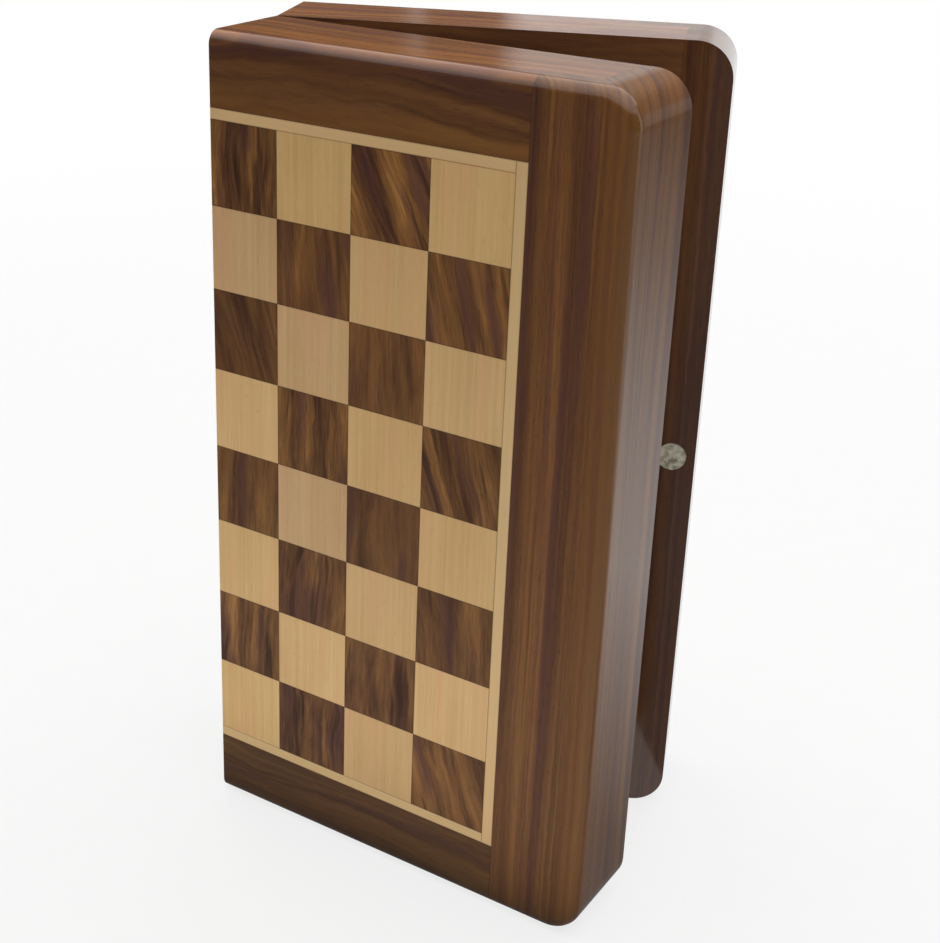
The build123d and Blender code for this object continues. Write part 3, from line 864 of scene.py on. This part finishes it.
def grid_lines(limits, edges):
    """Places of the mesh lines: close together at each slot edge, coarse between."""
    lines = {limits[0], limits[1]}
    for place, sign in edges:
        lines |= {place + sign * step for step in LINING_STEPS}
    steps = int((limits[1] - limits[0]) / LINING_COARSE)
    lines |= {limits[0] + LINING_COARSE * step for step in range(1, steps)}
    ordered = sorted(line for line in lines if limits[0] <= line <= limits[1])
    kept = [ordered[0]]
    for line in ordered[1:]:
        if line - kept[-1] > SMALLEST_STEP:
            kept.append(line)
    return kept


def lining(half, material):
    """The velvet over an insert: crowned ribs, rounded slot edges and sunken floors."""
    floor_low, floor_high = loose_boxes(f"{half}_insert_floor", half)[0]
    rails = loose_boxes(f"{half}_insert_rails", half)
    top = rails[0][1].y
    floor = floor_high.y
    slots = slot_boxes(half)
    x_edges = [(x0, 1) for x0, _, _, _ in slots] + [(x1, -1) for _, x1, _, _ in slots]
    z_edges = [(z0, 1) for _, _, z0, _ in slots] + [(z1, -1) for _, _, _, z1 in slots]
    xs = grid_lines((floor_low.x, floor_high.x), set(x_edges))
    zs = grid_lines((floor_low.z, floor_high.z), set(z_edges))
    bm = bmesh.new()
    rows = []
    for z in zs:
        row = []
        for x in xs:
            edge = min(x - xs[0], xs[-1] - x, z - zs[0], zs[-1] - z)
            y = lining_height(inside_slot(slots, x, z), edge, top, floor)
            row.append(bm.verts.new((x, y, z)))
        rows.append(row)
    for low_row, high_row in pairwise(rows):
        for a, b, c, d in zip(low_row, low_row[1:], high_row[1:], high_row):
            bm.faces.new((a, b, c, d))
    border = rows[0] + [row[-1] for row in rows[1:]]
    border += rows[-1][-2::-1] + [row[0] for row in rows[-2:0:-1]]
    base = [bm.verts.new((v.co.x, floor_low.y, v.co.z)) for v in border]
    for i, vertex in enumerate(border):
        following = (i + 1) % len(border)
        bm.faces.new((vertex, border[following], base[following], base[i]))
    bm.faces.new(base)
    for face in bm.faces:
        face.smooth = True
    made = new_object(f"{half}_velvet_lining", bm)
    nodes = [f"{half}_insert_{part}" for part in ("floor", "rails", "dividers")]
    finish_mesh(made, half, material, nodes)


FELT_RINGS = 5
FELT_SEGMENTS = 40
FELT_ROUND_EDGE = 0.42


def felt_pads(half, material):
    """Soft-edged discs in the men's feet, each where its solid is."""
    node = f"{SIDES[half]}_base_felts"
    bm = bmesh.new()
    for low, high in loose_boxes(node, half):
        centre = (low + high) / 2
        radius = (high.y - low.y) / 2
        thick = high.x - low.x
        round_edge = FELT_ROUND_EDGE * thick
        profile = []
        for end, span in ((-1, range(FELT_RINGS)), (1, range(FELT_RINGS - 1, -1, -1))):
            for step in span:
                angle = math.radians(90 * step / (FELT_RINGS - 1))
                out = radius - round_edge * (1 - math.sin(angle))
                along = end * (thick / 2 - round_edge * (1 - math.cos(angle)))
                profile.append((along, out))
        circles = []
        for along, out in profile:
            circle = []
            for segment in range(FELT_SEGMENTS):
                turn = 2 * math.pi * segment / FELT_SEGMENTS
                y = centre.y + out * math.cos(turn)
                z = centre.z + out * math.sin(turn)
                circle.append(bm.verts.new((centre.x + along, y, z)))
            circles.append(circle)
        for first, second in pairwise(circles):
            for i in range(FELT_SEGMENTS):
                following = (i + 1) % FELT_SEGMENTS
                bm.faces.new((first[i], first[following], second[following], second[i]))
        for circle, along in ((circles[0], profile[0][0]), (circles[-1], profile[-1][0])):
            middle = bm.verts.new((centre.x + along, centre.y, centre.z))
            for i in range(FELT_SEGMENTS):
                bm.faces.new((circle[i], circle[(i + 1) % FELT_SEGMENTS], middle))
    for face in bm.faces:
        face.smooth = True
    made = new_object(f"{SIDES[half]}_felt_pads", bm)
    finish_mesh(made, half, material, [node])


# Finish of the CAD nodes


def paint(node, material):
    """Gives a carried-over CAD node its material."""
    slots = frame["nodes"][node].data.materials
    slots.clear()
    slots.append(material)


# Seeds keep the figure of the two halves and of their pieces apart.
HALF_SEED = 2.0
SEEDS = {"outer": 1, "high": 3, "low": 4, "hinge": 7, "dark": 8, "light": 9}

# The far half is turned over, so the high end of its own frame is at its bottom.
NODE_END = {"near": {"high": "top", "low": "bottom"}, "far": {"high": "bottom", "low": "top"}}

# Straight grain, from a board cut far from the heart.
SIDE_PITH = (-120.0, -260.0)
SIDE_FIGURE = {
    "wander": 3.0,
    "curl": 0.3,
    "band": 3.8,
    "vein": 1.2,
    "run": 150.0,
    "olive": 0.3,
}
HINGE_CONTRAST = 1.5
# On the outer rail the edge tint is painted light and a painted warm floor reflection on the side
# face and its top end.
SIDE_TONE_AND_LIGHT_TINTS = {"face": (1.12, 1.0, 0.9), "edge": (1.2, 1.05, 0.76)}
PLAIN_TINTS = {"face": (1.0, 1.0, 1.0), "edge": (1.0, 1.0, 1.0)}
SIDE_STRIP = ("x", OUTER_EDGE - 9.0, OUTER_EDGE - 6.0)

# Wavier grain, from a board cut at a slant to the rings: the heart is END_HEART in from the end
# and far beyond the rim, so that rings cross both the playing face and the end.
END_HEART = 110.0
END_HEART_DEPTH = (FACE + RIM) / 2 + 120.0
END_FIGURE = {
    "wander": 6.0,
    "curl": 1.0,
    "band": 4.6,
    "vein": 1.7,
    "run": 75.0,
    "olive": 0.3,
}
END_RIM_TINT = (1.48, 1.34, 1.12)
# The edge tints are painted light from above: they lighten the top face of the end that is up, the
# high end in the near half and the low end in the far half.
END_LOOKS = {
    "high": {
        "pith": (HEIGHT - END_HEART, END_HEART_DEPTH),
        "face": (0.84, 0.73, 0.74),
        "edge": (1.6, 1.24, 0.72),
        "strip": ("z", STRINGS_HIGH + 8.0, STRINGS_HIGH + 2.0),
    },
    "low": {
        "pith": (END_HEART, END_HEART_DEPTH),
        "face": (0.92, 0.9, 0.88),
        "edge": (2.3, 2.0, 1.15),
        "strip": None,
    },
}

# Where one piece of wood is glued to the next.
SIDE_RAIL_SEAMS = [("x", RAIL_EDGE)]
END_RAIL_SEAMS = [("z", STRINGS_HIGH), ("z", STRINGS_LOW), ("x", RAIL_EDGE)]
END_WALL_SEAMS = [("x", WALL_EDGE)]
STRING_ENDS = [("z", STRINGS_LOW), ("z", STRINGS_HIGH)]
SIDE_STRING_SEAMS = [("x", STRING_EDGE), ("x", RAIL_EDGE), *STRING_ENDS]
END_STRING_SEAMS = [("z", FIELD_LOW), ("z", FIELD_HIGH), *STRING_ENDS, ("x", STRING_EDGE)]


def paint_sides(half, seed):
    """The outer rail with the wall under it, and the hinge wall."""
    looks = {**SIDE_TONE_AND_LIGHT_TINTS, **SIDE_FIGURE, "gold": SIDE_STRIP}
    name = f"{half}_outer_rail"
    outer = rail(name, half, "z", SIDE_PITH, seed + SEEDS["outer"], SIDE_RAIL_SEAMS, **looks)
    paint(f"{half}_border_outer", outer)
    paint(f"{half}_wall_outer", outer)
    looks = {**PLAIN_TINTS, **SIDE_FIGURE, "contrast": HINGE_CONTRAST}
    name = f"{half}_hinge_wall"
    hinge_wall = rail(name, half, "z", SIDE_PITH, seed + SEEDS["hinge"], **looks)
    paint(f"{half}_wall_hinge", hinge_wall)


def paint_ends(half, seed):
    """The end rails and the walls under them."""
    for end, look in END_LOOKS.items():
        shared = {"face": look["face"], "edge": look["edge"], "rim": END_RIM_TINT, **END_FIGURE}
        cut = (look["pith"], seed + SEEDS[end])
        name = f"{half}_{end}_rail"
        border = rail(name, half, "x", *cut, END_RAIL_SEAMS, gold=look["strip"], **shared)
        wall = rail(f"{half}_{end}_wall", half, "x", *cut, END_WALL_SEAMS, **shared)
        place = NODE_END[half][end]
        paint(f"{half}_border_{place}", border)
        paint(f"{half}_wall_{place}", wall)


def paint_half(half, number):
    """Woods of one half; number tells the halves apart."""
    seed = HALF_SEED * number
    paint_sides(half, seed)
    paint_ends(half, seed)
    dark = dark_square(f"{half}_rosewood_squares", half, seed + SEEDS["dark"])
    paint(f"{half}_dark_squares", dark)
    light = light_square(f"{half}_maple_squares", half, seed + SEEDS["light"])
    paint(f"{half}_light_squares", light)
    side_string = string(f"{half}_side_string", half, "z", SIDE_STRING_SEAMS)
    paint(f"{half}_string_outer", side_string)
    end_string = string(f"{half}_end_string", half, "x", END_STRING_SEAMS)
    for end in ("top", "bottom"):
        paint(f"{half}_string_{end}", end_string)
    paint(f"{half}_base_board", plywood(f"{half}_plywood", half))


def paint_metals():
    """Hinges, screws, magnets and the steel under the field."""
    brass_metal = brass("rolled_brass")
    nickel_metal = nickel("dull_nickel")
    for node in frame["nodes"]:
        if "hinge_leaf" in node or "hinge_pin" in node or "hinge_screws" in node:
            paint(node, brass_metal)
        elif "magnet" in node or "steel" in node:
            paint(node, nickel_metal)


def paint_men():
    """Boxwood men in the near half, stained rosewood men in the far half."""
    for side, look in MEN_LOOKS.items():
        material = turned_wood(**look)
        for kind in ("king", "queen", "bishops", "knights", "rooks", "pawns"):
            paint(f"{side}_{kind}", material)


# Studio
#
# Places are in metres in the row frame, and the room's turns in degrees left of +Y. Levels of
# light are 1 for white. The room's walls and the cards are seen in gloss alone.

CAMERA_FROM_HINGE = (0.2984, -0.3917, 0.3335)
CAMERA_TURN = (67.28, -1.03, 34.09)
CAMERA_LENS = 63.02
CAMERA_SHIFT = (0.10, -0.064)

FLOOR_REACH = 6.0
FLOOR_SPECKLES = (90, 90, 90)
FLOOR_WHITE = [(0.3, (0.54, 0.54, 0.535, 1)), (0.7, (0.56, 0.56, 0.555, 1))]
FLOOR_GLOW_FADE = (0.3, 1.0, 0.78, 1.0)
WORLD_ON_SET = 0.15
WORLD_SEEN = 1.0

CEILING = 1.35
CEILING_MIDDLE = (-0.1, 0.45)
CEILING_SIZE = 2.4
CEILING_WATTS = 53.0
CEILING_GLOW = 1.3
BOUNCE_PLACE = (0.0, -0.2, 0.004)
BOUNCE_AIM = (0.0, -0.2, 1.0)
BOUNCE_SIZE = (0.5, 0.25)
BOUNCE_WATTS = 0.6

ROOM_REACH = 2.6
ROOM_HEIGHT = (0.02, 2.6)
ROOM_STEP = 5
BACK_TURN = (-60, 80)
FRONT_TURN = (110, 280)
GREY = 0.42
DARK = 0.03
SIDE_GREY = 0.12
BRIGHT_GAP = 0.2
BACK_LEVELS = [
    (-60, SIDE_GREY),
    (-22, SIDE_GREY),
    (0, GREY),
    (28.9, GREY),
    (29.5, DARK),
    (32.6, DARK),
    (33.1, BRIGHT_GAP),
    (33.6, DARK),
    (80, DARK),
]
BACK_HIGH_FADE = (0.95, 1.3, 1.0, 0.5)
BACK_LOW_FADE = (0.65, 0.69, 2.4, 1.0)
FRONT_HIGH_FADE = (1.5, 2.0, DARK, 1.0)

CARD_RISE = 0.0005
# The cards reach in under the foot, so that the lowest roundovers show their dark in place of the
# floor: painted shadow in the reflections.
CARD_SEAM = -0.0495
FRONT_CARD = ((-2.5, 2.2), (-2.6, CARD_SEAM))
FRONT_CARD_RIGHT_FADE = (0.06, 0.14, DARK, 0.16)
FRONT_CARD_NEAR_FADE = (-0.3, -0.06, 0.0, 0.1)
SIDE_CARD = ((0.068, 2.2), (CARD_SEAM, 2.5))
# The side card is darker near the set: a painted shadow of the floor, as the lacquer reflects it.
SIDE_CARD_LEVELS = [
    (0.0, 0.2),
    (0.05, 0.37),
    (0.17, 0.82),
    (0.3, 0.74),
    (0.6, 0.35),
    (1.0, 0.1),
]


def camera():
    """The photograph's viewpoint."""
    lens = bpy.data.cameras.new("photo_camera")
    lens.lens = CAMERA_LENS
    lens.shift_x, lens.shift_y = CAMERA_SHIFT
    made = bpy.data.objects.new("photo_camera", lens)
    made.location = HINGE + Vector(CAMERA_FROM_HINGE)
    made.rotation_euler = Euler([math.radians(angle) for angle in CAMERA_TURN])
    bpy.context.scene.collection.objects.link(made)
    bpy.context.scene.camera = made


def soft_lamp(name, place, aim, size, watts):
    """A large flat lamp that neither the camera nor gloss sees."""
    light = bpy.data.lights.new(name, "AREA")
    light.shape = "RECTANGLE"
    light.size, light.size_y = size
    light.energy = watts
    made = bpy.data.objects.new(name, light)
    made.location = place
    made.rotation_euler = (Vector(aim) - Vector(place)).to_track_quat("-Z", "Y").to_euler()
    made.visible_camera = False
    made.visible_glossy = False
    bpy.context.scene.collection.objects.link(made)


def panel(name, x, y, height, material):
    """A flat level stage piece between two places along X and two along Y."""
    corners = [(x[0], y[0]), (x[1], y[0]), (x[1], y[1]), (x[0], y[1])]
    bm = bmesh.new()
    bm.faces.new([bm.verts.new((*corner, height)) for corner in corners])
    made = new_object(name, bm)
    made.data.materials.append(material)
    return made


def floor_material():
    """Pale floor, white to the camera and in gloss, and more so away from the set's shade."""
    shader = Shader("pale_floor")
    place = shader.row_place()
    speckle = shader.scaled_noise(place, FLOOR_SPECKLES, detail=2)
    diffuse = shader.add("ShaderNodeBsdfDiffuse", {"Color": shader.ramp(speckle, FLOOR_WHITE)})
    shine = shader.add("ShaderNodeEmission", {"Color": WHITE, "Strength": 1.0})
    path = shader.add("ShaderNodeLightPath").outputs
    seen = shader.math("MAXIMUM", path["Is Camera Ray"], path["Is Glossy Ray"])
    away = shader.fade(shader.distance(place, (0, 0, 0)), *FLOOR_GLOW_FADE)
    inputs = {
        0: shader.math("MULTIPLY", seen, away),
        1: diffuse.outputs[0],
        2: shine.outputs[0],
    }
    mixed = shader.add("ShaderNodeMixShader", inputs)
    output = shader.add("ShaderNodeOutputMaterial")
    shader.tree.links.new(mixed.outputs[0], output.inputs[0])
    return shader.material


def glow(shader, level):
    """Closes the material of a card that gives off an even light, level at white 1."""
    emission = shader.add("ShaderNodeEmission", {"Color": WHITE, "Strength": level})
    output = shader.add("ShaderNodeOutputMaterial")
    shader.tree.links.new(emission.outputs[0], output.inputs[0])
    return shader.material


def reflected_only(card):
    """Leaves a card in the lacquer's reflections alone."""
    card.visible_camera = False
    card.visible_diffuse = False
    card.visible_shadow = False
    card.visible_transmission = False


def grey(level):
    """A level from 0 to 1 as a colour."""
    return (level, level, level, 1)


def room_wall(name, turns, shader, level):
    """A curved wall that only gloss sees, between two azimuths in degrees left of +Y."""
    bm = bmesh.new()
    columns = []
    for azimuth in range(turns[0], turns[1] + 1, ROOM_STEP):
        turn = math.radians(azimuth)
        spot = (-ROOM_REACH * math.sin(turn), ROOM_REACH * math.cos(turn))
        columns.append([bm.verts.new((*spot, height)) for height in ROOM_HEIGHT])
    for first, second in pairwise(columns):
        bm.faces.new((first[0], second[0], second[1], first[1]))
    made = new_object(name, bm)
    made.data.materials.append(glow(shader, level))
    reflected_only(made)


def room():
    """The walls: grey behind, dark with a bright gap at the left, and dark in front."""
    shader = Shader("room_behind")
    x, y, z = shader.split(shader.row_place())
    turned = shader.math("ARCTAN2", shader.math("MULTIPLY", x, -1.0), y)
    azimuth = shader.math("DEGREES", turned)
    low, high = BACK_TURN
    share = shader.math("DIVIDE", shader.math("SUBTRACT", azimuth, low), high - low)
    stops = [((turn - low) / (high - low), grey(level)) for turn, level in BACK_LEVELS]
    level = shader.ramp(share, stops)
    for fade in (BACK_HIGH_FADE, BACK_LOW_FADE):
        level = shader.math("MULTIPLY", level, shader.fade(z, *fade))
    room_wall("back_wall", BACK_TURN, shader, level)
    shader = Shader("room_in_front")
    z = shader.split(shader.row_place())[2]
    room_wall("front_wall", FRONT_TURN, shader, shader.fade(z, *FRONT_HIGH_FADE))


def cards():
    """What the lacquer shows of the floor in front and at the right, and of the ceiling."""
    shader = Shader("dark_card")
    right, forward, _ = shader.split(shader.row_place())
    at_right = shader.fade(right, *FRONT_CARD_RIGHT_FADE)
    level = shader.math("ADD", at_right, shader.fade(forward, *FRONT_CARD_NEAR_FADE))
    reflected_only(panel("front_card", *FRONT_CARD, CARD_RISE, glow(shader, level)))
    shader = Shader("fading_card")
    away = shader.split(shader.row_place())[1]
    level = shader.ramp(away, [(place, grey(level)) for place, level in SIDE_CARD_LEVELS])
    reflected_only(panel("side_card", *SIDE_CARD, CARD_RISE, glow(shader, level)))
    limits = [(middle - CEILING_SIZE / 2, middle + CEILING_SIZE / 2) for middle in CEILING_MIDDLE]
    light = glow(Shader("ceiling_glow"), CEILING_GLOW)
    reflected_only(panel("ceiling_card", *limits, CEILING, light))


def white_world():
    """White to the camera and in gloss, and a weak even light on the set."""
    world = bpy.data.worlds.new("white_world")
    bpy.context.scene.world = world
    world.use_nodes = True
    tree = world.node_tree
    tree.nodes.clear()
    path = tree.nodes.new("ShaderNodeLightPath")
    seen = path.outputs["Is Camera Ray"]
    for ray in ("Is Glossy Ray", "Is Transmission Ray"):
        either = tree.nodes.new("ShaderNodeMath")
        either.operation = "MAXIMUM"
        tree.links.new(seen, either.inputs[0])
        tree.links.new(path.outputs[ray], either.inputs[1])
        seen = either.outputs[0]
    strength = tree.nodes.new("ShaderNodeMapRange")
    tree.links.new(seen, strength.inputs["Value"])
    strength.inputs["To Min"].default_value = WORLD_ON_SET
    strength.inputs["To Max"].default_value = WORLD_SEEN
    background = tree.nodes.new("ShaderNodeBackground")
    background.inputs["Color"].default_value = WHITE
    tree.links.new(strength.outputs[0], background.inputs["Strength"])
    output = tree.nodes.new("ShaderNodeOutputWorld")
    tree.links.new(background.outputs[0], output.inputs[0])


def studio():
    """Floor, what the lacquer shows, lamps and world."""
    reach = (-FLOOR_REACH, FLOOR_REACH)
    panel("floor", reach, reach, 0.0, floor_material())
    room()
    cards()
    above = (*CEILING_MIDDLE, CEILING)
    size = (CEILING_SIZE, CEILING_SIZE)
    soft_lamp("ceiling_lamp", above, (*CEILING_MIDDLE, 0), size, CEILING_WATTS)
    soft_lamp("bounce_card", BOUNCE_PLACE, BOUNCE_AIM, BOUNCE_SIZE, BOUNCE_WATTS)
    white_world()


def main():
    camera()
    for number, half in enumerate(HALVES):
        paint_half(half, number)
        lining(half, velvet(f"{half}_green_velvet"))
        felt_pads(half, felt(f"{SIDES[half]}_green_felt"))
    paint_metals()
    paint_men()
    studio()
    bpy.context.scene.view_settings.view_transform = "Standard"


main()
